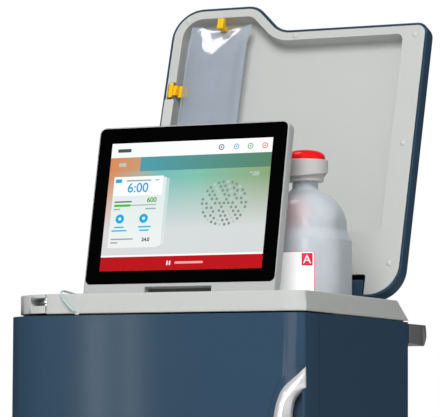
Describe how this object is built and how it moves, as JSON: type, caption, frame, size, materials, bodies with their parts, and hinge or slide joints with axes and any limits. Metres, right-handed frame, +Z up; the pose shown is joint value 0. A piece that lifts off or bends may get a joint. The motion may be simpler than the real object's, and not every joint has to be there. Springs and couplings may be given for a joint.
{
  "type": "haemodialysis machine",
  "caption": "Wheeled cabinet with a hinged front door over a pump bay, a leaning lid with a hung fluid bag, a tilting touch display and a bottle in the top deck.",
  "frame": {"origin": "bottom centre of the bounding box, on the floor under the casters", "axes": "+X to the operator's right when facing the machine, +Y to its rear, +Z up"},
  "size_m": [0.47, 0.5093, 1.2754],
  "materials": {
    "blue_paint": "satin",
    "blue_plastic": "satin",
    "grey_plastic": "satin",
    "light_grey_plastic": "satin",
    "screen_case": "satin",
    "screen_glass": "gloss",
    "screen_panel": "gloss",
    "yellow_plastic": "gloss",
    "clear_bag": "clear",
    "clear_tube": "clear",
    "bottle_white": "translucent",
    "collar_grey": "satin",
    "cap_red": "satin",
    "dark_plastic": "satin",
    "seal_rubber": "matt",
    "tyre_rubber": "matt",
    "steel": "brushed",
    "chrome_pin": "polished",
    "sheet_steel": "satin",
    "white_plastic": "satin",
    "filter_clear": "clear",
    "aluminium_parts": "satin"
  },
  "bodies": {
    "cabinet": {"base_frame": "sheet_steel", "cabinet_shell": "blue_paint", "rear_service_panel": "blue_paint", "lower_front_panel": "blue_paint", "treatment_panel": "sheet_steel", "deck_tray": "grey_plastic", "bottle_well": "grey_plastic", "corner_block": "light_grey_plastic", "lid_catch_pin": "chrome_pin", "push_handle": "light_grey_plastic", "handle_pads": "blue_plastic", "lid_hinge_brackets": "steel", "lid_hinge_pins": "steel", "tablet_hinge_ears": "aluminium_parts", "tablet_hinge_pins": "steel", "door_pivots": "steel", "pump_housing": "white_plastic", "pump_tube": "clear_tube", "blood_filter": "filter_clear", "filter_clips": "white_plastic", "line_clamp_blocks": "dark_plastic", "air_detector": "dark_plastic", "power_supply": "aluminium_parts", "heater_tank": "steel", "dialysate_pumps": "dark_plastic", "mains_inlet": "dark_plastic", "water_ports": "steel", "line_tube": "clear_tube"},
    "lid": {"lid_shell": "blue_paint", "lid_liner": "grey_plastic", "lid_screws": "steel", "bag_hook": "yellow_plastic", "bag_side_clip": "yellow_plastic", "flange_cover": "light_grey_plastic", "saline_bag": "clear_bag"},
    "display": {"tablet_case": "screen_case", "tablet_glass": "screen_glass", "display_panel": "screen_panel"},
    "door": {"door_shell": "blue_paint", "door_liner": "light_grey_plastic", "door_handle": "light_grey_plastic", "door_gasket": "seal_rubber"},
    "rotor": {"pump_rotor": "aluminium_parts"},
    "roller_left": {"pump_roller_left": "steel"},
    "roller_right": {"pump_roller_right": "steel"},
    "artery_plunger": {"artery_clamp_plunger": "steel"},
    "vein_plunger": {"vein_clamp_plunger": "steel"},
    "drug_bottle": {"bottle": "bottle_white", "bottle_collar": "collar_grey", "bottle_cap": "cap_red"},
    "fork_front_left": {"caster_fork_front_left": "dark_plastic"},
    "wheel_front_left": {"caster_wheel_front_left": "tyre_rubber"},
    "pedal_front_left": {"brake_pedal_front_left": "dark_plastic"},
    "fork_front_right": {"caster_fork_front_right": "dark_plastic"},
    "wheel_front_right": {"caster_wheel_front_right": "tyre_rubber"},
    "pedal_front_right": {"brake_pedal_front_right": "dark_plastic"},
    "fork_rear_left": {"caster_fork_rear_left": "dark_plastic"},
    "wheel_rear_left": {"caster_wheel_rear_left": "tyre_rubber"},
    "fork_rear_right": {"caster_fork_rear_right": "dark_plastic"},
    "wheel_rear_right": {"caster_wheel_rear_right": "tyre_rubber"}
  },
  "joints": [
    {"name": "lid_hinge", "type": "hinge", "parent": "cabinet", "child": "lid", "pos_m": [0, 0.10868, 0.8313], "axis": [1, 0, 0], "range_deg": [0, 45]},
    {"name": "display_tilt", "type": "hinge", "parent": "cabinet", "child": "display", "pos_m": [0.0265, -0.19324, 0.81508], "axis": [1, 0, 0], "range_deg": [-8, 12]},
    {"name": "door_hinge", "type": "hinge", "parent": "cabinet", "child": "door", "pos_m": [-0.229, -0.1711, 0.543], "axis": [0, 0, -1], "range_deg": [0, 90]},
    {"name": "pump_spin", "type": "hinge", "parent": "cabinet", "child": "rotor", "pos_m": [-0.062, -0.1711, 0.64], "axis": [0, 1, 0], "continuous": true},
    {"name": "roller_left_spin", "type": "hinge", "parent": "rotor", "child": "roller_left", "pos_m": [-0.0915, -0.1711, 0.64], "axis": [0, 1, 0], "continuous": true},
    {"name": "roller_right_spin", "type": "hinge", "parent": "rotor", "child": "roller_right", "pos_m": [-0.0325, -0.1711, 0.64], "axis": [0, 1, 0], "continuous": true},
    {"name": "artery_clamp_press", "type": "slide", "parent": "cabinet", "child": "artery_plunger", "axis": [0, -1, 0], "range_m": [0, 0.004], "stiffness_N_per_m": 200},
    {"name": "vein_clamp_press", "type": "slide", "parent": "cabinet", "child": "vein_plunger", "axis": [0, -1, 0], "range_m": [0, 0.004], "stiffness_N_per_m": 200},
    {"name": "bottle_lift", "type": "slide", "parent": "cabinet", "child": "drug_bottle", "axis": [0, 0, 1], "range_m": [0, 0.085]},
    {"name": "swivel_front_left", "type": "hinge", "parent": "cabinet", "child": "fork_front_left", "pos_m": [-0.182, -0.1701, 0.105], "axis": [0, 0, 1], "continuous": true},
    {"name": "roll_front_left", "type": "hinge", "parent": "fork_front_left", "child": "wheel_front_left", "pos_m": [-0.182, -0.1501, 0.0375], "axis": [1, 0, 0], "continuous": true},
    {"name": "brake_front_left", "type": "hinge", "parent": "fork_front_left", "child": "pedal_front_left", "pos_m": [-0.182, -0.1171, 0.066], "axis": [1, 0, 0], "range_deg": [0, 15]},
    {"name": "swivel_front_right", "type": "hinge", "parent": "cabinet", "child": "fork_front_right", "pos_m": [0.182, -0.1701, 0.105], "axis": [0, 0, 1], "continuous": true},
    {"name": "roll_front_right", "type": "hinge", "parent": "fork_front_right", "child": "wheel_front_right", "pos_m": [0.182, -0.1501, 0.0375], "axis": [1, 0, 0], "continuous": true},
    {"name": "brake_front_right", "type": "hinge", "parent": "fork_front_right", "child": "pedal_front_right", "pos_m": [0.182, -0.1171, 0.066], "axis": [1, 0, 0], "range_deg": [0, 15]},
    {"name": "swivel_rear_left", "type": "hinge", "parent": "cabinet", "child": "fork_rear_left", "pos_m": [-0.182, 0.0619, 0.105], "axis": [0, 0, 1], "continuous": true},
    {"name": "roll_rear_left", "type": "hinge", "parent": "fork_rear_left", "child": "wheel_rear_left", "pos_m": [-0.182, 0.0819, 0.0375], "axis": [1, 0, 0], "continuous": true},
    {"name": "swivel_rear_right", "type": "hinge", "parent": "cabinet", "child": "fork_rear_right", "pos_m": [0.182, 0.0619, 0.105], "axis": [0, 0, 1], "continuous": true},
    {"name": "roll_rear_right", "type": "hinge", "parent": "fork_rear_right", "child": "wheel_rear_right", "pos_m": [0.182, 0.0819, 0.0375], "axis": [1, 0, 0], "continuous": true}
  ]
}
